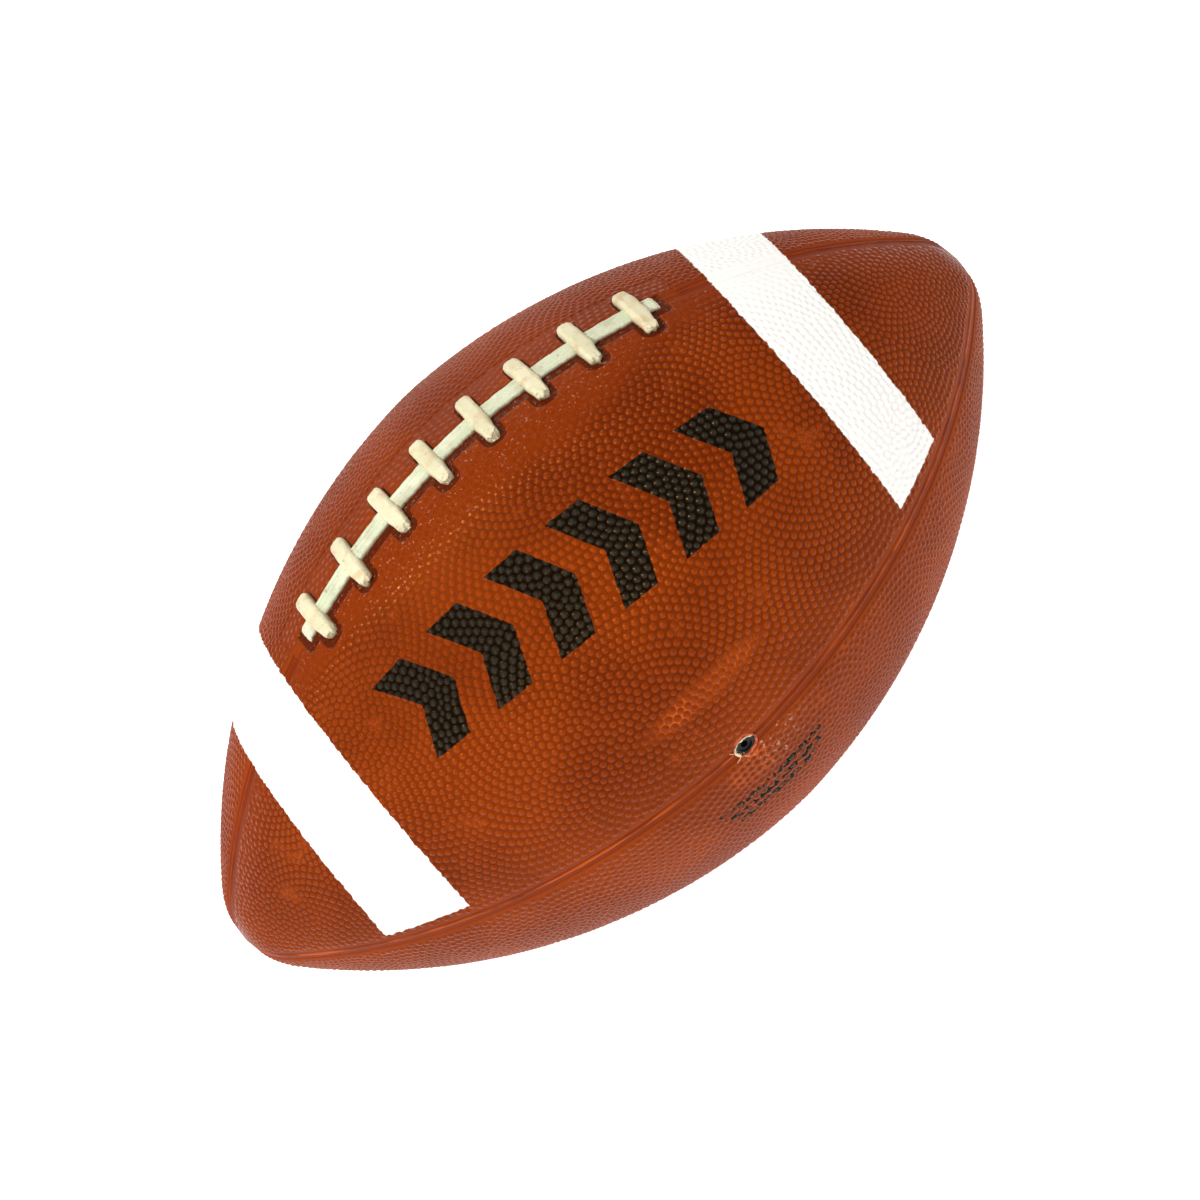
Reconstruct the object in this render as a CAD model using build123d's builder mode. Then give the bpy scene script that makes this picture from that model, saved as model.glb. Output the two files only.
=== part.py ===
from build123d import *
import math
import os

# American football, moulded rubber cover. Long axis on X, laces on +Z, valve on -Y,
# origin at the centre of the ball. Millimetres.

os.makedirs("parts", exist_ok=True)

# Outer shape: a belly arc, a flank arc and a tip arc, tangent to each other
ball_length = 280.0
ball_radius = 80.4
belly_radius = 110.0
belly_half_length = 7.0
tip_radius = 25.0

# Wall, from the outside in
cover_thickness = 1.6
lining_thickness = 0.3
carcass_thickness = 0.6
winding_thickness = 0.4
bladder_thickness = 0.7
cement_film = 0.02

# Seam channels between the four cover panels, with a raised bead along each
seam_width = 3.6
channel_depth = 0.8
bead_width = 1.1
bead_below_surface = 0.25

# Lacing
bar_count = 8
bar_pitch = 17.1
bar_length = 21.0
bar_width = 5.6
bar_corner = 2.2
bar_proud = 2.0
bar_top_round = 1.1
spine_width = 6.2
spine_proud = 0.6
spine_tail = 6.0
bed_thickness = 0.6
recess_margin = 2.1
pocket_margin = 0.9
leg_inset = 1.6
leg_size = (3.6, 1.4)

# Inflation valve
eyelet_radius = 3.9
neck_radius = 3.2
neck_top_depth = 0.9
neck_depth = 14.0
flange_radius = 11.0
flange_thickness = 1.4
core_radius = 2.1
core_top_depth = 1.4
core_length = 11.0
needle_radius = 1.1
needle_reach = 6.0

# Derived dimensions
half_length = ball_length / 2
half_seam = seam_width / 2
lining_depth = cover_thickness + cement_film
carcass_depth = lining_depth + lining_thickness
winding_depth = carcass_depth + carcass_thickness
bladder_depth = winding_depth + winding_thickness
inside_depth = bladder_depth + bladder_thickness
bed_depth = cover_thickness - bed_thickness
bar_positions = [(i - (bar_count - 1) / 2) * bar_pitch for i in range(bar_count)]
spine_half_length = bar_positions[-1] + spine_tail
recess_half_length = spine_half_length + recess_margin
recess_width = spine_width + 2 * recess_margin
quarter_turn = math.pi / 2

# The flank arc follows from tangency with its two neighbours. Every profile angle is
# measured at the arc's centre, from the outward radial direction towards the tip.
belly_angle = math.asin(belly_half_length / belly_radius)
belly_center = (0.0, ball_radius - belly_radius)
tip_center = (half_length - tip_radius, 0.0)
belly_end = (belly_half_length, belly_center[1] + belly_radius * math.cos(belly_angle))
to_belly_end = (belly_end[0] - tip_center[0], belly_end[1] - tip_center[1])
along_normal = to_belly_end[0] * math.sin(belly_angle) + to_belly_end[1] * math.cos(belly_angle)
span_squared = to_belly_end[0] ** 2 + to_belly_end[1] ** 2
flank_radius = (span_squared - tip_radius**2) / (2 * (along_normal - tip_radius))
flank_center = (
    belly_end[0] - flank_radius * math.sin(belly_angle),
    belly_end[1] - flank_radius * math.cos(belly_angle),
)
flank_angle = math.atan2(tip_center[0] - flank_center[0], tip_center[1] - flank_center[1])


def on_arc(center, radius, angle):
    return (center[0] + radius * math.sin(angle), center[1] + radius * math.cos(angle))


def section_at(depth):
    """The ball's half section, shrunk by a depth below its surface."""
    right_arcs = [
        (flank_center, flank_radius - depth, belly_angle, flank_angle),
        (tip_center, tip_radius - depth, flank_angle, quarter_turn),
    ]
    left_arcs = [((-c[0], c[1]), r, -end, -start) for c, r, start, end in reversed(right_arcs)]
    belly_arc = (belly_center, belly_radius - depth, -belly_angle, belly_angle)
    with BuildSketch(Plane.XZ) as section:
        with BuildLine():
            for center, radius, start, end in left_arcs + [belly_arc] + right_arcs:
                ThreePointArc(
                    on_arc(center, radius, start),
                    on_arc(center, radius, (start + end) / 2),
                    on_arc(center, radius, end),
                )
            Line((half_length - depth, 0), (depth - half_length, 0))
        make_face()
    return section.sketch


def shell_between(outer_depth, inner_depth):
    """A closed layer of the ball between two depths below its surface."""
    with BuildPart() as layer:
        revolve(section_at(outer_depth), axis=Axis.X)
        revolve(section_at(inner_depth), axis=Axis.X, mode=Mode.SUBTRACT)
    return layer.part


def valve_disc(radius, depth):
    """A circle about the valve's axis, on a plane at a depth below the ball's surface."""
    with BuildSketch(Plane.XZ.offset(ball_radius - depth)) as disc:
        Circle(radius)
    return disc.sketch


def leg_places(position):
    return [(position, side * (bar_length / 2 - leg_inset)) for side in (-1, 1)]


def seam_slab(width, x_from, x_to, angle):
    """Keep what lies within a seam: a slab on one side of the X axis, turned about it."""
    reach = 2 * ball_radius
    with Locations(Rotation(angle, 0, 0)):
        with Locations(((x_from + x_to) / 2, 0, reach / 2)):
            Box(x_to - x_from, width, reach, mode=Mode.INTERSECT)


def save(piece, name):
    piece.part.label = name
    export_step(piece.part, f"parts/{name}.step")


# ---- Layers of the wall ----

valve_reach = 2 * inside_depth

with BuildPart() as bladder:
    add(shell_between(bladder_depth, inside_depth))
    extrude(valve_disc(neck_radius, valve_reach), amount=2 * valve_reach, mode=Mode.SUBTRACT)
save(bladder, "bladder")

with BuildPart() as thread_winding:
    add(shell_between(winding_depth, bladder_depth))
    extrude(valve_disc(neck_radius, valve_reach), amount=2 * valve_reach, mode=Mode.SUBTRACT)
save(thread_winding, "thread_winding")

with BuildPart() as rubber_carcass:
    add(shell_between(carcass_depth, winding_depth))
    extrude(valve_disc(neck_radius, valve_reach), amount=2 * valve_reach, mode=Mode.SUBTRACT)
save(rubber_carcass, "rubber_carcass")

# Slots for the feet of the lace bars and for the two ends of the spine
with BuildPart() as lace_slots:
    with BuildSketch(Plane.XY):
        for position in bar_positions:
            with Locations(*leg_places(position)):
                Rectangle(*leg_size)
        with Locations(*[(side * (spine_half_length - leg_inset), 0) for side in (-1, 1)]):
            Rectangle(leg_size[1], spine_width - 1)
    extrude(amount=2 * ball_radius)

with BuildPart() as cloth_lining:
    add(shell_between(lining_depth, carcass_depth))
    extrude(valve_disc(neck_radius, valve_reach), amount=2 * valve_reach, mode=Mode.SUBTRACT)
    add(lace_slots.part, mode=Mode.SUBTRACT)
save(cloth_lining, "cloth_lining")

# ---- Valve ----

# The seat's flange is bonded to the bladder's inner face
with BuildPart() as seat_flange:
    extrude(valve_disc(flange_radius, inside_depth + flange_thickness), amount=inside_depth)
    revolve(section_at(inside_depth), axis=Axis.X, mode=Mode.INTERSECT)

with BuildPart() as valve_seat:
    add(seat_flange.part)
    extrude(valve_disc(neck_radius, neck_depth), amount=neck_depth - neck_top_depth)
    core_bottom = valve_disc(core_radius, core_top_depth + core_length)
    extrude(core_bottom, amount=ball_radius, mode=Mode.SUBTRACT)
save(valve_seat, "valve_seat")

with BuildPart() as valve_core:
    extrude(core_bottom, amount=core_length)
    needle_bottom = valve_disc(needle_radius, core_top_depth + needle_reach)
    extrude(needle_bottom, amount=needle_reach, mode=Mode.SUBTRACT)
save(valve_core, "valve_core")

with BuildPart() as valve_eyelet:
    add(shell_between(bead_below_surface, cover_thickness))
    extrude(valve_disc(eyelet_radius, valve_reach), amount=2 * valve_reach, mode=Mode.INTERSECT)
    extrude(valve_disc(neck_radius, valve_reach), amount=2 * valve_reach, mode=Mode.SUBTRACT)
save(valve_eyelet, "valve_eyelet")

# ---- Lacing ----

with BuildPart() as lace_recess:
    with BuildSketch(Plane.XY):
        RectangleRounded(2 * recess_half_length, recess_width, recess_width / 2 - 0.5)
        with Locations(*[(position, 0) for position in bar_positions]):
            RectangleRounded(
                bar_width + 2 * pocket_margin,
                bar_length + 2 * pocket_margin,
                bar_corner + pocket_margin,
            )
    extrude(amount=2 * ball_radius)

with BuildPart() as lace_bed:
    add(shell_between(bed_depth, cover_thickness))
    add(lace_recess.part, mode=Mode.INTERSECT)
    add(lace_slots.part, mode=Mode.SUBTRACT)
save(lace_bed, "lace_bed")

with BuildPart() as slot_feet:
    add(shell_between(bed_depth, carcass_depth))
    add(lace_slots.part, mode=Mode.INTERSECT)

with BuildPart() as lace_spine:
    add(shell_between(-spine_proud, bed_depth))
    with Locations((0, 0, ball_radius)):
        Box(2 * spine_half_length, spine_width, 2 * ball_radius, mode=Mode.INTERSECT)
    add(slot_feet.solids().sort_by(Axis.X)[0])
    add(slot_feet.solids().sort_by(Axis.X)[-1])
save(lace_spine, "lace_spine")

for number, position in enumerate(bar_positions, start=1):
    with BuildPart() as lace_bar:
        with BuildSketch(Plane.XY):
            with Locations((position, 0)):
                RectangleRounded(bar_width, bar_length, bar_corner)
        extrude(amount=2 * ball_radius)
        add(shell_between(-bar_proud, bed_depth), mode=Mode.INTERSECT)
        fillet(lace_bar.faces().sort_by(Axis.Z)[-1].edges(), radius=bar_top_round)
        add(lace_spine.part, mode=Mode.SUBTRACT)
        for foot in slot_feet.solids().filter_by_position(Axis.X, position - 1, position + 1):
            add(foot)
    save(lace_bar, f"lace_bar_{number}")

# ---- Cover panels ----

panels = {
    "panel_print": (-1, 1),
    "panel_lace_back": (1, 1),
    "panel_valve_bottom": (-1, -1),
    "panel_bottom_back": (1, -1),
}
for name, (y_side, z_side) in panels.items():
    with BuildPart() as cover_panel:
        add(shell_between(0, cover_thickness))
        with Locations((0, y_side * (half_seam + ball_radius), z_side * (half_seam + ball_radius))):
            Box(2 * ball_length, 2 * ball_radius, 2 * ball_radius, mode=Mode.INTERSECT)
        extrude(valve_disc(eyelet_radius, valve_reach), amount=2 * valve_reach, mode=Mode.SUBTRACT)
        add(lace_recess.part, mode=Mode.SUBTRACT)
    save(cover_panel, name)

# ---- Seam strips: a channel floor with a bead; the lace and bottom seams own the tips ----

far = 2 * half_length
seam_strips = {
    "seam_strip_lace_right": (0, 0, far, 0),
    "seam_strip_lace_left": (0, -far, 0, 0),
    "seam_strip_valve_right": (90, 0, far, half_seam),
    "seam_strip_valve_left": (90, -far, 0, half_seam),
    "seam_strip_bottom": (180, -far, far, 0),
    "seam_strip_back": (270, -far, far, half_seam),
}
for name, (angle, x_from, x_to, start) in seam_strips.items():
    with BuildPart() as bead:
        add(shell_between(bead_below_surface, channel_depth))
        seam_slab(bead_width, x_from, x_to, angle)
    with BuildPart() as seam_strip:
        add(shell_between(channel_depth, cover_thickness))
        seam_slab(seam_width, x_from, x_to, angle)
        add(bead.part)
        if start:
            Box(2 * far, 2 * start, 2 * ball_length, mode=Mode.SUBTRACT)
        extrude(valve_disc(eyelet_radius, valve_reach), amount=2 * valve_reach, mode=Mode.SUBTRACT)
        add(lace_recess.part, mode=Mode.SUBTRACT)
    save(seam_strip, name)
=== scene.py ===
import math

import bpy
import numpy as np
from mathutils import Matrix, Vector, noise
from mathutils.geometry import delaunay_2d_cdt


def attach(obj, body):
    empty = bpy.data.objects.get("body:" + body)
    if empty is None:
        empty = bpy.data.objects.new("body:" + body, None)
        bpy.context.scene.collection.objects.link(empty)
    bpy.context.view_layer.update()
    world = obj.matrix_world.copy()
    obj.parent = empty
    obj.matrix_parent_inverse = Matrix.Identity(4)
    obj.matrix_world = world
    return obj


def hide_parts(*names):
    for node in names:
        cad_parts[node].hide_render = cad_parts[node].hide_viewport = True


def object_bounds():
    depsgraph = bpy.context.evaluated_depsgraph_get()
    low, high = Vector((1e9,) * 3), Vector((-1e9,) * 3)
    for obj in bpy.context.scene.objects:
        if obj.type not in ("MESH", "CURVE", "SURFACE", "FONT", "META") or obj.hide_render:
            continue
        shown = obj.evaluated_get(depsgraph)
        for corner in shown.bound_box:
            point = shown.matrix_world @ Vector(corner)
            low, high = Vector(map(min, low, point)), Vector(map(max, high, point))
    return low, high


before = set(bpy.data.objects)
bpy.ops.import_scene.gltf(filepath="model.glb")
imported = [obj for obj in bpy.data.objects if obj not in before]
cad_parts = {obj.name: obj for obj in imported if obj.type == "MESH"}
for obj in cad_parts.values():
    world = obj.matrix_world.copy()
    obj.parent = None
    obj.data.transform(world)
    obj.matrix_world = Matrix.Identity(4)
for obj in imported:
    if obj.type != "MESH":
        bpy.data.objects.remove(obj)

# Everything below is worked out in millimetres and written to meshes in metres.
MM = 0.001
cad_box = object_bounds()

# ---- Shape of the ball: belly, flank and tip arcs, tangent to each other, as in the CAD ----

HALF_LENGTH = 140.0
BALL_RADIUS = 80.4
BELLY_RADIUS = 110.0
BELLY_HALF = 7.0
TIP_RADIUS = 25.0
QUARTER = math.pi / 2

BELLY_ANGLE = math.asin(BELLY_HALF / BELLY_RADIUS)
BELLY_CENTRE = (0.0, BALL_RADIUS - BELLY_RADIUS)
TIP_CENTRE = (HALF_LENGTH - TIP_RADIUS, 0.0)
belly_end = (BELLY_HALF, BELLY_CENTRE[1] + BELLY_RADIUS * math.cos(BELLY_ANGLE))
to_end = (belly_end[0] - TIP_CENTRE[0], belly_end[1])
along = to_end[0] * math.sin(BELLY_ANGLE) + to_end[1] * math.cos(BELLY_ANGLE)
FLANK_RADIUS = (to_end[0] ** 2 + to_end[1] ** 2 - TIP_RADIUS**2) / (2 * (along - TIP_RADIUS))
FLANK_CENTRE = (
    belly_end[0] - FLANK_RADIUS * math.sin(BELLY_ANGLE),
    belly_end[1] - FLANK_RADIUS * math.cos(BELLY_ANGLE),
)
FLANK_ANGLE = math.atan2(TIP_CENTRE[0] - FLANK_CENTRE[0], -FLANK_CENTRE[1])
BELLY_ARC = BELLY_RADIUS * BELLY_ANGLE
FLANK_ARC = BELLY_ARC + FLANK_RADIUS * (FLANK_ANGLE - BELLY_ANGLE)
HALF_ARC = FLANK_ARC + TIP_RADIUS * (QUARTER - FLANK_ANGLE)

# Levels above (+) or below (-) the CAD surface
LAND = -0.38
STUD_TOP = -0.03
CHANNEL_FLOOR = -0.72
BEAD_TOP = -0.30
UNDERSIDE = -1.60

# Seams and valve opening
HALF_SEAM = 1.8
EDGE_ROLL = 0.8
VALVE_OPENING = 3.9

# Lacing, as in the CAD
BAR_COUNT = 8
BAR_PITCH = 17.1
BAR_HALF_LENGTH = 10.5
BAR_HALF_WIDTH = 2.8
BAR_TOP = 2.0
BED_LEVEL = -1.0
SPINE_HALF_WIDTH = 3.1
SPINE_TOP = 0.6
SPINE_HALF_LENGTH = 65.8
RECESS_HALF_WIDTH = 5.2
RECESS_HALF_LENGTH = 67.9
POCKET_MARGIN = 0.9
BAR_X = [(i - (BAR_COUNT - 1) / 2) * BAR_PITCH for i in range(BAR_COUNT)]


def profile(s, height=0.0):
    """Axial place, distance from the axis and slope, at arc length s from mid-length."""
    s = np.asarray(s, float)
    t = np.abs(s)
    belly = t < BELLY_ARC
    flank = ~belly & (t < FLANK_ARC)
    angle = np.where(belly, t / BELLY_RADIUS, BELLY_ANGLE + (t - BELLY_ARC) / FLANK_RADIUS)
    angle = np.where(belly | flank, angle, FLANK_ANGLE + (t - FLANK_ARC) / TIP_RADIUS)
    radius = np.where(belly, BELLY_RADIUS, np.where(flank, FLANK_RADIUS, TIP_RADIUS)) + height
    centre_x = np.where(belly, 0.0, np.where(flank, FLANK_CENTRE[0], TIP_CENTRE[0]))
    centre_r = np.where(belly, BELLY_CENTRE[1], np.where(flank, FLANK_CENTRE[1], 0.0))
    x = np.sign(s) * (centre_x + radius * np.sin(angle))
    return x, centre_r + radius * np.cos(angle), np.sign(s) * angle


ARC_TABLE = np.linspace(-HALF_ARC, HALF_ARC, 20001)
X_TABLE, R_TABLE, _ = profile(ARC_TABLE)


def running_sum(values):
    """Integral of values over the arc table, zero at mid-length."""
    steps = (values[1:] + values[:-1]) / 2 * np.diff(ARC_TABLE)
    total = np.concatenate([[0.0], np.cumsum(steps)])
    return total - total[len(total) // 2]


# u is the chart in which the surface is mapped without distorting angles: (u, angle)
U_TABLE = running_sum(1.0 / np.maximum(R_TABLE, 0.5))


def u_of(s):
    return np.interp(s, ARC_TABLE, U_TABLE)


def s_of_u(u):
    return np.interp(u, U_TABLE, ARC_TABLE)


def s_of_x(x):
    return np.interp(x, X_TABLE, ARC_TABLE)


def radius_at(s):
    return profile(s)[1]


def s_of_radius(radius):
    """Arc length at which the right half of the ball narrows to a radius."""
    half = len(ARC_TABLE) // 2
    return float(np.interp(-radius, -R_TABLE[half:], ARC_TABLE[half:]))


def on_ball(s, phi, height):
    """Points at arc length s and angle phi from the laces towards the valve."""
    x, r, _ = profile(s, height)
    return np.column_stack([x, -r * np.sin(phi), r * np.cos(phi)])


def beside_seam(s, offset, height, seam_angle):
    """Points at a sideways offset from a seam's plane, which lies at seam_angle."""
    x, r, slope = profile(s)
    bend = np.where(r > 1, np.cos(slope) / np.maximum(r, 1.0), 1 / TIP_RADIUS)
    lift = height - bend * offset**2 / 2
    out = r + lift * np.cos(slope)
    y = -out * np.sin(seam_angle) - offset * np.cos(seam_angle)
    z = out * np.cos(seam_angle) - offset * np.sin(seam_angle)
    return np.column_stack([x + lift * np.sin(slope), y, z])


def smooth_step(low, high, value):
    t = np.clip((value - low) / (high - low), 0.0, 1.0)
    return t * t * (3 - 2 * t)


# ---- Mesh helpers ----


def add_object(name, data):
    made = bpy.data.objects.new(name, data)
    bpy.context.scene.collection.objects.link(made)
    return made


def add_mesh(name, points, face_sets):
    """A smooth mesh object from points in millimetres and arrays of faces, each of one size."""
    corners = np.concatenate([faces.ravel() for faces in face_sets])
    sizes = np.concatenate([np.full(len(faces), faces.shape[1]) for faces in face_sets])
    starts = np.concatenate([[0], np.cumsum(sizes)[:-1]])
    mesh = bpy.data.meshes.new(name)
    mesh.vertices.add(len(points))
    mesh.vertices.foreach_set("co", (np.asarray(points) * MM).ravel())
    mesh.loops.add(len(corners))
    mesh.loops.foreach_set("vertex_index", corners.astype(np.int32))
    mesh.polygons.add(len(sizes))
    mesh.polygons.foreach_set("loop_start", starts.astype(np.int32))
    mesh.polygons.foreach_set("use_smooth", np.ones(len(sizes), bool))
    mesh.update(calc_edges=True)
    return add_object(name, mesh)


def sweep(name, loops):
    """A closed body through loops of points, each as long as the next, with a fan over each end."""
    count, around = len(loops), len(loops[0])
    index = np.arange(count * around).reshape(count, around)
    ahead = np.roll(index, -1, axis=1)
    quads = np.stack([index[:-1], ahead[:-1], ahead[1:], index[1:]], axis=-1).reshape(-1, 4)
    first, last = count * around, count * around + 1
    fans = [
        np.column_stack([ahead[0], index[0], np.full(around, first)]),
        np.column_stack([index[-1], ahead[-1], np.full(around, last)]),
    ]
    points = np.vstack([*loops, loops[0].mean(axis=0), loops[-1].mean(axis=0)])
    return add_mesh(name, points, [quads, *fans])


def stands_for(piece, node, material):
    """Let a piece replace a CAD node: it rides on the one body and takes a finish."""
    piece.data.materials.append(material)
    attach(piece, "root")
    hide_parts(node)


def triangulate(points, loop=None):
    """Delaunay triangles of chart points, only inside the loop of indices if one is given."""
    vectors = [Vector(p) for p in points]
    faces = [list(loop)] if loop is not None else []
    kind = 1 if faces else 0
    _, _, triangles, sources, _, _ = delaunay_2d_cdt(vectors, [], faces, kind, 1e-9)
    first = np.array([source[0] if source else -1 for source in sources])
    triangles = first[np.array(triangles)]
    return triangles[(triangles >= 0).all(axis=1)]


# ---- Stud pattern: one panel's worth, used for all four ----

STUD_PITCH = 2.52
PITCH_FALL = 0.20
STUD_END_RADIUS = 5.5
HEX_AREA = math.sqrt(3) / 2
GOLDEN_ANGLE = math.pi * (3 - math.sqrt(5))
# Centres of the whorls, in stud pitches along and across the panel from its middle
WHORLS = [(-64, 3), (-36, -9), (-12, 12), (10, -13), (33, 9), (62, -3)]
RELAX_ROUNDS = 10
FAR_AWAY = 9.0


def pitch_at(s):
    return STUD_PITCH * (np.maximum(radius_at(s), 1.0) / BALL_RADIUS) ** PITCH_FALL


ROWS_TABLE = running_sum(1.0 / pitch_at(ARC_TABLE))


def seam_edge(s, has_valve):
    """Sideways distance from a seam's plane to the panel's edge, wider at the valve."""
    if not has_valve:
        return np.full(np.shape(s), HALF_SEAM)
    opening = np.sqrt(np.maximum(VALVE_OPENING**2 - np.asarray(s) ** 2, 0.0))
    return np.maximum(opening, HALF_SEAM)


def edge_angle(s, distance):
    """Angle from a seam's plane at which the surface is a sideways distance from it."""
    return np.arcsin(np.clip(distance / np.maximum(radius_at(s), 0.1), -1, 1))


def whorl_points(s_end):
    """Seeds spiralling out of each whorl, each kept in the area nearest to its own whorl."""
    whorls = np.array(WHORLS, float)
    n = np.arange(9000)
    reach = np.sqrt((n + 0.5) * HEX_AREA / math.pi)
    kept = []
    for k, centre in enumerate(whorls):
        turn = n * GOLDEN_ANGLE + k
        rows = centre[0] + reach * np.cos(turn)
        columns = centre[1] + reach * np.sin(turn)
        gaps = np.hypot(rows[:, None] - whorls[:, 0], columns[:, None] - whorls[:, 1])
        own = np.argmin(gaps, axis=1) == k
        kept.append(np.column_stack([rows, columns])[own])
    rows, columns = np.vstack(kept).T
    s = np.interp(rows, ROWS_TABLE, ARC_TABLE)
    psi = QUARTER / 2 + columns * pitch_at(s) / radius_at(s)
    margin = edge_angle(s, HALF_SEAM + EDGE_ROLL + 0.3 * pitch_at(s))
    inside = (np.abs(s) < s_end) & (psi > margin) & (psi < QUARTER - margin)
    return s[inside], psi[inside]


def edge_ghosts(s_end):
    """Fixed points just outside the panel's two edges, which keep the outer rows in line."""
    s = [-s_end]
    while s[-1] < s_end:
        s.append(s[-1] + float(pitch_at(s[-1])))
    s = np.array(s)
    angle = edge_angle(s, HALF_SEAM + EDGE_ROLL - 0.35 * pitch_at(s))
    ends = np.linspace(0.3, QUARTER - 0.3, 5)
    s = np.concatenate([s, s, np.full(5, -s_end - 0.8), np.full(5, s_end + 0.8)])
    return np.column_stack([u_of(s), np.concatenate([angle, QUARTER - angle, ends, ends])])


def relax(points, ghosts, rounds):
    """Move each point to the middle of its neighbourhood, by a few rounds."""
    count = len(points)
    for _ in range(rounds):
        every = np.vstack([points, ghosts])
        triangles = triangulate(every)
        corners = every[triangles]
        middle = corners.mean(axis=1)
        one, two = corners[:, 1] - corners[:, 0], corners[:, 2] - corners[:, 0]
        s = s_of_u(middle[:, 0])
        density = (radius_at(s) / pitch_at(s)) ** 2
        weight = np.abs(one[:, 0] * two[:, 1] - one[:, 1] * two[:, 0]) * density
        flat, spread = triangles.ravel(), np.repeat(weight, 3)
        total = np.bincount(flat, spread, len(every))[:count]
        moved = [
            np.bincount(flat, spread * np.repeat(middle[:, axis], 3), len(every))[:count] / total
            for axis in (0, 1)
        ]
        points = np.column_stack(moved)
    return points


class Studs:
    """Centres and foot radii of one panel's studs, in the chart and in millimetres."""

    def __init__(self):
        s_end = s_of_radius(STUD_END_RADIUS)
        s, psi = whorl_points(s_end)
        ghosts = edge_ghosts(s_end)
        points = relax(np.column_stack([u_of(s), psi]), ghosts, RELAX_ROUNDS)
        every = np.vstack([points, ghosts])
        self.triangles = triangulate(every)
        edges = np.vstack([self.triangles[:, ends] for ends in ([0, 1], [1, 2], [2, 0])])
        gap = np.hypot(*(every[edges[:, 0]] - every[edges[:, 1]]).T)
        nearest = np.full(len(every), FAR_AWAY)
        np.minimum.at(nearest, edges[:, 0], gap)
        np.minimum.at(nearest, edges[:, 1], gap)
        neighbours = np.bincount(edges[:, 0], minlength=len(every))
        mean = np.bincount(edges[:, 0], gap, len(every)) / np.maximum(neighbours, 1)
        self.count = len(points)
        self.every = every
        self.centres = points
        self.u, self.psi = points.T
        self.s = s_of_u(self.u)
        self.r = radius_at(self.s)
        self.foot = self.r * np.minimum(0.43 * mean, 0.485 * nearest)[: self.count]


studs = Studs()

# ---- Cover panels ----

# A panel's local angle psi runs from its seam under the laces or at the bottom (0) to its seam
# at the valve or the back (a quarter turn). Each panel: where psi is 0, which way psi runs
# round the ball, which way arc length runs along it, laces on its first seam, valve on its second.
PANELS = {
    "panel_print": (0.0, 1, 1, True, True),
    "panel_lace_back": (0.0, -1, -1, True, False),
    "panel_valve_bottom": (math.pi, -1, -1, False, True),
    "panel_bottom_back": (math.pi, 1, 1, False, False),
}
STUD_HEIGHT = STUD_TOP - LAND
FULL_FOOT = 1.09
SURROUND_X = 72.0
SURROUND_HALF_WIDTH = 16.2
SURROUND_COLUMNS, SURROUND_ROWS = 361, 93
SURROUND_S = float(s_of_x(SURROUND_X))
SURROUND_ANGLE = SURROUND_HALF_WIDTH / BALL_RADIUS
# The panel's edge rolls over into the seam channel: distance from the edge, level
ROLL_ROWS = [
    (EDGE_ROLL, LAND),
    (0.42, LAND - 0.03),
    (0.16, LAND - 0.13),
    (0.0, LAND - 0.32),
    (0.0, -1.05),
    (0.0, UNDERSIDE),
]
NO_STUD = 3.0


def lace_relief(s, phi):
    """How far the studs stand out: they fade towards the laces on the print panel."""
    from_laces = radius_at(s) * phi + 14 * smooth_step(28, 75, np.abs(s))
    return np.where(phi > 0, 0.10 + 0.90 * smooth_step(14, 36, from_laces), 1.0)


def dome(t):
    """Height of a stud, from 1 in its middle to 0 at its foot."""
    return np.maximum(1.0 - t * t, 0.0) ** 0.75


def edge_samples(s_from, s_to, near_valve):
    """Arc lengths along a panel's edge, closer together at the tips and at the valve."""
    places = [s_from]
    while places[-1] < s_to - 0.2:
        here = places[-1]
        step = min(1.2, max(0.12 * float(radius_at(here)), 0.3))
        if near_valve and abs(here) < VALVE_OPENING + 2:
            step = 0.3
        places.append(min(here + step, s_to))
    return np.array(places)


def panel_outline(has_laces, has_valve):
    """The panel's outline as arrays of arc length, local angle and kind of edge."""
    s_corner = s_of_radius(math.sqrt(2) * (HALF_SEAM + EDGE_ROLL))
    high_s = edge_samples(-s_corner, s_corner, has_valve)[::-1]
    high = QUARTER - edge_angle(high_s, seam_edge(high_s, has_valve) + EDGE_ROLL)
    if has_laces:
        left_s = edge_samples(-s_corner, -SURROUND_S, False)
        start = float(edge_angle(SURROUND_S, HALF_SEAM + EDGE_ROLL))
        rise = np.linspace(start, SURROUND_ANGLE, 28)[1:-1]
        across = np.linspace(-SURROUND_S, SURROUND_S, SURROUND_COLUMNS)
        side = np.full(len(rise), SURROUND_S)
        notch_s = np.concatenate([-side, across, side])
        notch = np.concatenate([rise, np.full(SURROUND_COLUMNS, SURROUND_ANGLE), rise[::-1]])
        low_s = np.concatenate([left_s, notch_s, -left_s[::-1]])
        low_edge = edge_angle(left_s, HALF_SEAM + EDGE_ROLL)
        low = np.concatenate([low_edge, notch, low_edge[::-1]])
        plain = np.zeros(len(left_s))
        low_kind = np.concatenate([plain, np.full(len(notch), 2), plain])
    else:
        low_s = edge_samples(-s_corner, s_corner, False)
        low = edge_angle(low_s, HALF_SEAM + EDGE_ROLL)
        low_kind = np.zeros(len(low_s))
    kind = np.concatenate([low_kind, np.ones(len(high_s))]).astype(int)
    return np.concatenate([low_s, high_s]), np.concatenate([low, high]), kind


def row_angle(s, psi, kind, distance, has_valve):
    """Local angle of an edge row at a distance from the panel's edge."""
    low = edge_angle(s, HALF_SEAM + distance)
    high = QUARTER - edge_angle(s, seam_edge(s, has_valve) + distance)
    return np.choose(kind, [low, high, psi])


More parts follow.
